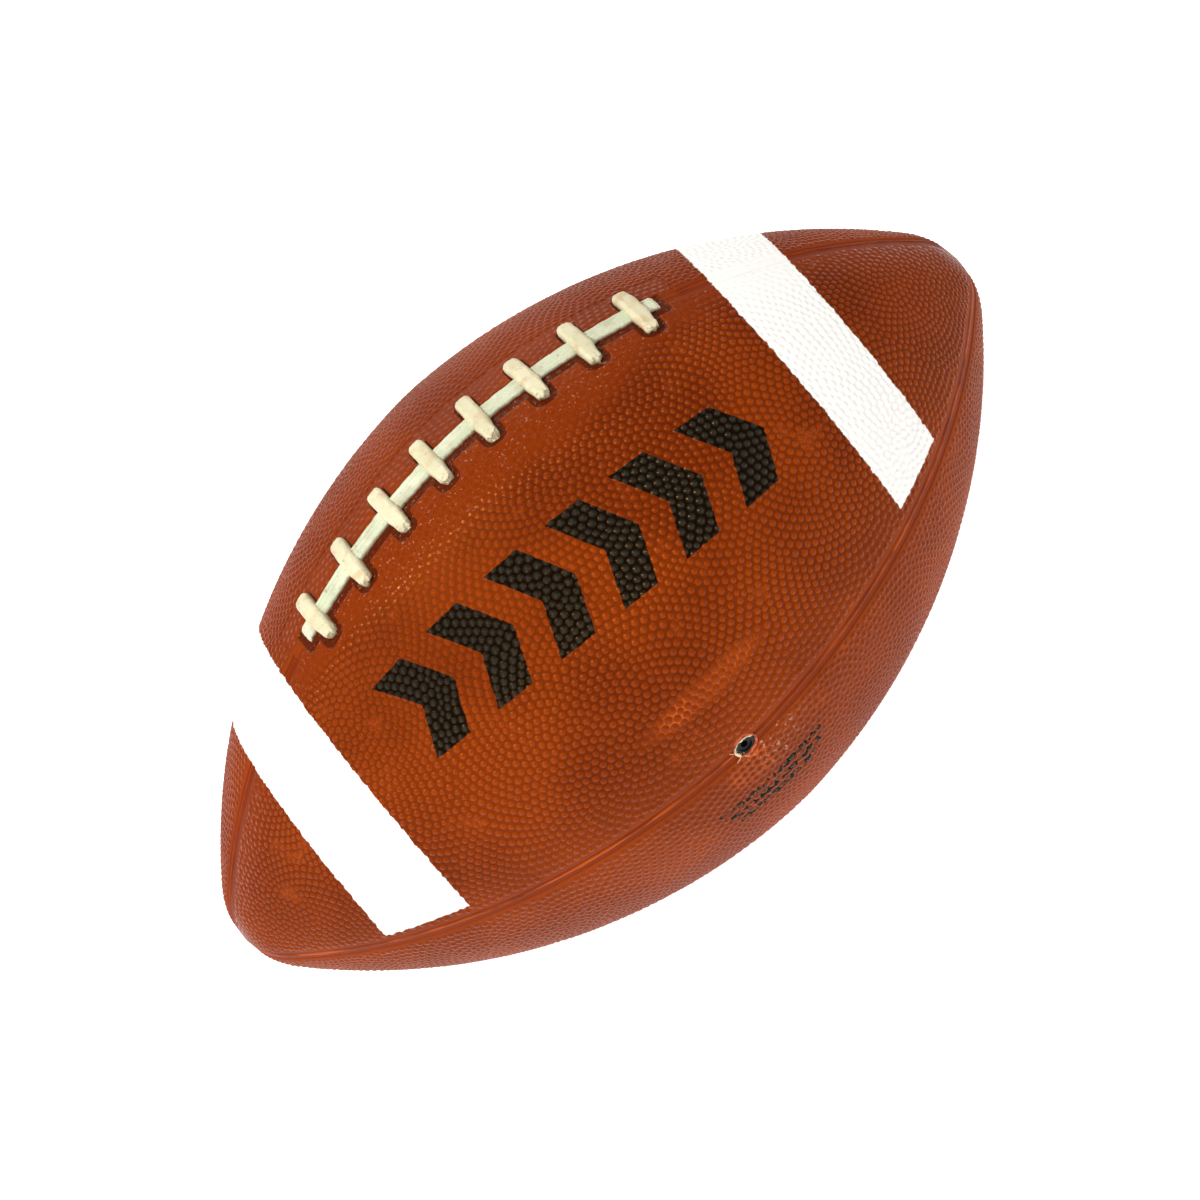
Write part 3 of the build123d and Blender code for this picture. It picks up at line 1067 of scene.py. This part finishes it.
def print_mask(sh, x, phi):
    """Six chevrons in a row that point the same way."""
    ragged = sh.wobble(1.3, 0.8)
    centre = sh.times_plus(x, PRINT_LEAN, PRINT_ANGLE)
    up = sh.times(sh.minus(phi, centre), BALL_RADIUS)
    up = sh.size(sh.plus(up, ragged))
    leaning = sh.times_plus(up, CHEVRON_SLOPE, sh.plus(x, ragged))
    along = sh.minus(leaning, CHEVRON_SLOPE * PRINT_HALF_HEIGHT / 2)
    local = sh.math("WRAP", along, CHEVRON_PITCH, 0.0)
    local = sh.size(sh.minus(local, CHEVRON_PITCH / 2))
    stroke = sh.times(sh.below(local, CHEVRON_HALF_WIDTH), sh.below(up, PRINT_HALF_HEIGHT))
    return sh.times(stroke, sh.below(sh.size(along), PRINT_HALF_LENGTH))


def mark_mask(sh, x, phi):
    """Three rows of small blocks in no order."""
    rows = 0.0
    ragged = sh.wobble(0.8, 0.8)
    cell = sh.math("FLOOR", sh.ratio(sh.plus(x, ragged), MARK_CELL))
    for number, angle in enumerate(MARK_ANGLES):
        up = sh.times(sh.minus(phi, angle), BALL_RADIUS)
        up = sh.plus(up, sh.times(ragged, 0.5))
        half_row = sh.math("FLOOR", sh.ratio(up, MARK_HALF_HEIGHT))
        seed = sh.plus(sh.times_plus(half_row, 53.0, 211.0 * number), cell)
        chance = sh.node("ShaderNodeTexWhiteNoise", noise_dimensions="1D")
        sh.feed(chance.inputs["W"], seed)
        on = sh.math("GREATER_THAN", chance.outputs["Value"], MARK_GAPS)
        row = sh.below(sh.size(up), MARK_HALF_HEIGHT)
        half = MARK_HALF_LENGTH - 2 * number
        reach = sh.step(sh.size(x), half, half - 0.3)
        rows = sh.plus(rows, sh.times(sh.times(row, on), reach))
    return rows


def near_spot(sh, x, phi, spot_x, spot_phi, half_x, half_phi):
    """1 at a spot on the ball, falling to 0 at an oval round it; lengths in millimetres."""
    gap_x = sh.ratio(sh.minus(x, spot_x), half_x)
    gap_phi = sh.times(sh.minus(phi, math.radians(spot_phi)), BALL_RADIUS / half_phi)
    return sh.step(sh.length(gap_x, gap_phi), 1.0, 0.35)


def cover_rubber():
    """Pebbled rubber: studs on land painted darker as shade, worn in patches, with a painted sheen on
    parts of the web, striped with paint and printed.
    """
    sh = Shader("cover_rubber", *WARM_SHINE)
    x, phi = ball_place(sh)
    uv = sh.node("ShaderNodeUVMap", uv_map="stud").outputs[0]
    relief = sh.node("ShaderNodeAttribute", attribute_name="relief").outputs["Fac"]
    length = sh.node("ShaderNodeVectorMath", operation="LENGTH")
    sh.feed(length.inputs[0], uv)
    t = length.outputs["Value"]

    wide = sh.noise(38.0, 2.0)
    patch = sh.noise(9.0, 3.0)
    fine = sh.noise(0.7, 3.0)
    grain = sh.noise(0.16, 2.0)

    tone = sh.step(wide, 0.36, 0.66)
    stud_color = sh.mix(tone, STUD_DARK, STUD_LIGHT)
    # Land colour: darker than the studs, as painted shade in the valleys between them
    shaded_land_color = sh.mix(tone, SHADED_LAND_DARK, SHADED_LAND_LIGHT)
    # Painted reflection: a band of bright web above the valve; the wear round the valve and the random
    # patches are real wear
    web_sheen = near_spot(sh, x, phi, *WEB_SHEEN_SPOT)
    valve_wear = near_spot(sh, x, phi, *VALVE_WEAR)
    patchy = sh.times_plus(sh.step(patch, 0.38, 0.62), 0.35, 0.50)
    bare_and_sheen = sh.times(sh.math("MAXIMUM", web_sheen, valve_wear), patchy)
    bare_and_sheen = sh.math("MAXIMUM", bare_and_sheen, sh.times(sh.step(patch, 0.60, 0.78), 0.40))
    # Painted sheen: the web on the flanks, by the laces and past the valve seam, painted lighter as a
    # reflection
    flank_sheen = sh.minus(1.0, band(sh, phi, 0.10, 1.42, 0.14))
    bare_and_sheen = sh.math("MAXIMUM", bare_and_sheen, sh.times(flank_sheen, 0.20))
    shaded_land_color = sh.mix(bare_and_sheen, shaded_land_color, BARE_WEB_AND_SHEEN)
    on_stud = sh.step(t, 1.12, 0.78)
    body = sh.mix(on_stud, shaded_land_color, stud_color)
    # Painted shade with some grime: a darker ring round each stud's foot, in the crease
    ring = sh.times(sh.step(t, 0.72, 0.96), sh.step(t, 1.18, 1.02))
    foot_shade_and_grime = sh.times(ring, sh.times_plus(patch, 0.4, 0.15))
    body = sh.mix(foot_shade_and_grime, body, FOOT_SHADE_AND_GRIME)
    body = sh.mix(sh.step(relief, 0.10, 0.75), SMOOTH_RUBBER, body)
    # Painted shade: darker where relief is below zero, in the recess and pockets round the laces
    body = sh.mix(sh.step(relief, -0.10, -0.80), body, RECESS_SHADE)
    body = sh.mix(sh.times(sh.step(fine, 0.55, 0.75), 0.20), body, SCUFF)
    flat = sh.step(relief, 0.70, 0.05)
    specks = sh.times(flat, sh.step(sh.noise(0.9, 3.0), 0.62, 0.70))
    body = sh.mix(sh.times(specks, 0.45), body, PALE_SCUFF)

    scuffed = near_spot(sh, x, phi, *VALVE_SCUFFS)
    scratches = sh.step(sh.noise(1.5, 3.0), 0.585, 0.66)
    body = sh.mix(sh.times(sh.times(scuffed, scratches), 0.7), body, PALE_SCUFF)

    ink = sh.plus(print_mask(sh, x, phi), mark_mask(sh, x, phi))
    ink = sh.times(ink, band(sh, phi, 0.0, math.pi, 0.01))
    # Ink with painted light: grey highlight on the stud tops, black shade between them
    color = sh.mix(ink, body, sh.mix(sh.step(t, 1.05, 0.45), INK_SHADE, INK_HIGHLIGHT))
    paint = stripe_mask(sh, x, phi)
    chipped = sh.times(sh.step(sh.noise(1.1, 4.0), 0.62, 0.72), 0.5)
    color = sh.mix(paint, color, sh.mix(chipped, PAINT, PAINT_WORN))

    rough = sh.times_plus(fine, 0.20, 0.22)
    rough = sh.times_plus(sh.minus(1.0, on_stud), 0.36, rough)
    rough = sh.times_plus(sh.math("SUBTRACT", 1.0, relief, clamp=True), -0.10, rough)
    matt_land = sh.times_plus(on_stud, -0.44, 0.34)
    rough = sh.times_plus(ink, matt_land, rough)

    swell = sh.math("COSINE", sh.times(sh.math("MINIMUM", t, 1.0), math.pi))
    stud = sh.times(sh.times_plus(swell, 0.5, 0.5), sh.math("MAXIMUM", relief, 0.0))
    covered = sh.times_plus(paint, -0.5, 1.0)
    height = sh.times(sh.times(stud, 0.22), covered)
    height = sh.times_plus(grain, 0.010, height)
    height = sh.times_plus(fine, 0.03, height)
    low_bumps = sh.times(flat, sh.noise(2.4, 1.0))
    height = sh.times_plus(low_bumps, 0.30, height)
    return sh.finish(color, rough, sh.bump(height))


def seam_rubber():
    """Smooth rubber in the channels, brighter along the bead's crest in patches."""
    sh = Shader("seam_rubber", *WARM_SHINE)
    x, phi = ball_place(sh)
    quarter = sh.ratio(phi, QUARTER)
    turn = sh.minus(quarter, sh.math("ROUND", quarter))
    reach = sh.ratio(sh.length(*sh.axes()[1:]), MM)
    offset = sh.times(sh.times(turn, QUARTER), reach)
    from_bead = sh.minus(offset, BEAD_ASIDE)
    away = sh.size(sh.plus(from_bead, sh.wobble(6.0, 0.5)))
    crest = sh.step(away, 0.60, 0.20)
    under_laces = sh.step(sh.size(phi), 0.5, 0.2)
    crest = sh.times(crest, sh.times_plus(under_laces, -0.75, 1.0))
    right_of_valve = sh.times(band(sh, x, 0.0, 34.0, 8.0), sh.step(phi, 1.2, 1.4))
    crest = sh.times(crest, sh.times_plus(right_of_valve, -0.70, 1.0))
    patch = sh.noise(11.0, 3.0)
    floor = sh.mix(patch, SEAM_DARK, SEAM_LIGHT)
    strength = sh.times(sh.step(patch, 0.30, 0.62), 0.8)
    color = sh.mix(sh.times(crest, strength), floor, CREST)
    color = sh.mix(stripe_mask(sh, x, phi), color, PAINT)
    fine = sh.noise(0.8, 3.0)
    rough = sh.times_plus(fine, 0.18, 0.44)
    return sh.finish(color, rough, sh.bump(sh.times(fine, 0.05)))


def lace_vinyl(name, one, two, stain):
    """Moulded vinyl of two tones, stained in streaks and speckled."""
    sh = Shader(name, 0.3)
    patch = sh.noise(4.5, 3.0)
    spots = sh.noise(1.2, 4.0)
    base = sh.mix(sh.step(sh.noise(12.0, 2.0), 0.35, 0.65), one, two)
    color = sh.mix(sh.times(sh.step(patch, 0.47, 0.70), 0.65), base, stain)
    color = sh.mix(sh.times(sh.step(spots, 0.62, 0.74), 0.50), color, LACE_DIRT)
    fine = sh.noise(0.5, 4.0)
    rough = sh.times_plus(fine, 0.25, 0.38)
    sh.bsdf.inputs["Subsurface Weight"].default_value = 0.08
    sh.bsdf.inputs["Subsurface Scale"].default_value = 1.0 * MM
    return sh.finish(color, rough, sh.bump(sh.times(fine, 0.14)))


def plain_rubber(name, one, two, low, high):
    """Two tones and a fine grain, for the valve, the hidden layers and the threads."""
    sh = Shader(name, 0.2)
    color = sh.mix(sh.noise(3.0, 4.0), one, two)
    fine = sh.noise(0.4, 3.0)
    rough = sh.times_plus(fine, high - low, low)
    return sh.finish(color, rough, sh.bump(sh.times(fine, 0.04)))


def rim_rubber():
    """The valve's rim: worn orange rubber, with pale lining at the hole's upper left."""
    sh = Shader("rim_rubber", 0.5)
    x, _, z = [sh.ratio(place, MM) for place in sh.axes()]
    oval = sh.length(sh.ratio(x, RIM_HOLE[0]), sh.ratio(z, RIM_HOLE[1]))
    near_hole = sh.step(oval, 1.26, 1.10)
    upper_left = sh.step(sh.times_plus(x, -0.5, z), -0.4, 0.7)
    pale = sh.times(near_hole, upper_left)
    worn = sh.step(sh.noise(1.4, 3.0), 0.40, 0.60)
    color = sh.mix(worn, SMOOTH_RUBBER, BARE_WEB_AND_SHEEN)
    color = sh.mix(pale, color, RIM_LINING)
    fine = sh.noise(0.5, 3.0)
    rough = sh.times_plus(fine, 0.3, 0.4)
    return sh.finish(color, rough, sh.bump(sh.times(fine, 0.12)))


def floor_paint():
    """Pale matt floor that glows a little, as a lit table does."""
    sh = Shader("floor_paint", 0.0)
    color = sh.mix(sh.noise(60.0, 2.0), *FLOOR_TONES)
    sh.bsdf.inputs["Emission Color"].default_value = (1.0, 1.0, 1.0, 1.0)
    sh.bsdf.inputs["Emission Strength"].default_value = 0.88
    return sh.finish(color, 0.8, sh.bump(sh.times(sh.noise(4.0, 2.0), 0.01)))


# ---- Assembly ----

COVER = cover_rubber()
SEAM = seam_rubber()
STRIP_VINYL = lace_vinyl("strip_vinyl", *STRIP_TONES)
BAR_VINYL = lace_vinyl("bar_vinyl", *BAR_TONES)
BLACK = plain_rubber("black_rubber", *RUBBER_TONES, 0.30, 0.55)
CLOTH = plain_rubber("lining_thread", *THREAD_TONES, 0.60, 0.85)
RIM = rim_rubber()

for node, (base, turn, direction, has_laces, has_valve) in PANELS.items():
    stands_for(make_panel(node, base, turn, direction, has_laces, has_valve), node, COVER)
stands_for(make_surround(), "lace_bed", COVER)
for node, (seam_angle, s_from, s_to) in SEAMS.items():
    stands_for(make_strip(node, seam_angle, s_from, s_to), node, SEAM)
stands_for(make_spine(), "lace_spine", STRIP_VINYL)
for number, x in enumerate(BAR_X, start=1):
    stands_for(make_bar(number, x), f"lace_bar_{number}", BAR_VINYL)
stands_for(make_rim(), "valve_eyelet", RIM)
threads = make_threads()
threads.data.materials.append(CLOTH)
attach(threads, "root")

# CAD nodes that stay as they are: the valve is seen, the layers inside are not
KEPT = {
    "valve_seat": BLACK,
    "valve_core": BLACK,
    "bladder": BLACK,
    "rubber_carcass": BLACK,
    "thread_winding": CLOTH,
    "cloth_lining": CLOTH,
}
for node, material in KEPT.items():
    for slot in bpy.data.objects[node].material_slots:
        slot.material = material

# ---- Floor, light and camera ----

FLOOR_LEVEL = cad_box[0][2] - 0.0002

bpy.ops.mesh.primitive_plane_add(size=6.0, location=(0, 0, FLOOR_LEVEL))
floor = bpy.context.object
floor.name = "floor"
floor.data.materials.append(floor_paint())


def add_softbox(name, place, size, watts):
    """A square area light that looks at the ball."""
    light = bpy.data.lights.new(name, "AREA")
    light.shape = "SQUARE"
    light.size = size
    light.energy = watts
    lamp = add_object(name, light)
    lamp.location = place
    lamp.rotation_euler = (-Vector(place)).to_track_quat("-Z", "Y").to_euler()


add_softbox("key_light", (-0.60, -0.10, 1.50), 0.24, 21.0)
add_softbox("left_light", (-1.30, -1.00, 0.60), 0.70, 10.0)
add_softbox("right_light", (1.00, -1.20, 0.90), 0.80, 7.0)
add_softbox("back_light", (0.30, 1.60, 0.90), 1.20, 8.0)

world = bpy.data.worlds.new("studio")
world.use_nodes = True
world.node_tree.nodes["Background"].inputs["Color"].default_value = (1.0, 0.93, 0.84, 1.0)
world.node_tree.nodes["Background"].inputs["Strength"].default_value = 0.34
bpy.context.scene.world = world

# The camera looks down on the panel between the laces and the valve, tilted so that
# the ball's right tip points to the picture's upper right
CAMERA_AZIMUTH = math.radians(-0.9)
CAMERA_ELEVATION = math.radians(43.35)
CAMERA_ROLL = math.radians(-43.1)
CAMERA_DISTANCE = 1.0
CAMERA_LENS = 105.6
CAMERA_SHIFT = (-0.0007, -0.0002)

outward = Vector((
    math.sin(CAMERA_AZIMUTH) * math.cos(CAMERA_ELEVATION),
    -math.cos(CAMERA_AZIMUTH) * math.cos(CAMERA_ELEVATION),
    math.sin(CAMERA_ELEVATION),
))
level_right = Vector((0, 0, 1)).cross(outward).normalized()
level_up = outward.cross(level_right)
right = math.cos(CAMERA_ROLL) * level_right + math.sin(CAMERA_ROLL) * level_up
up = outward.cross(right)
camera = add_object("camera", bpy.data.cameras.new("camera"))
camera.data.lens = CAMERA_LENS
camera.data.clip_end = 20.0
camera.matrix_world = Matrix.Translation(
    outward * CAMERA_DISTANCE + right * CAMERA_SHIFT[0] + up * CAMERA_SHIFT[1]
) @ Matrix((right, up, outward)).transposed().to_4x4()
bpy.context.scene.camera = camera
bpy.context.scene.view_settings.view_transform = "Standard"
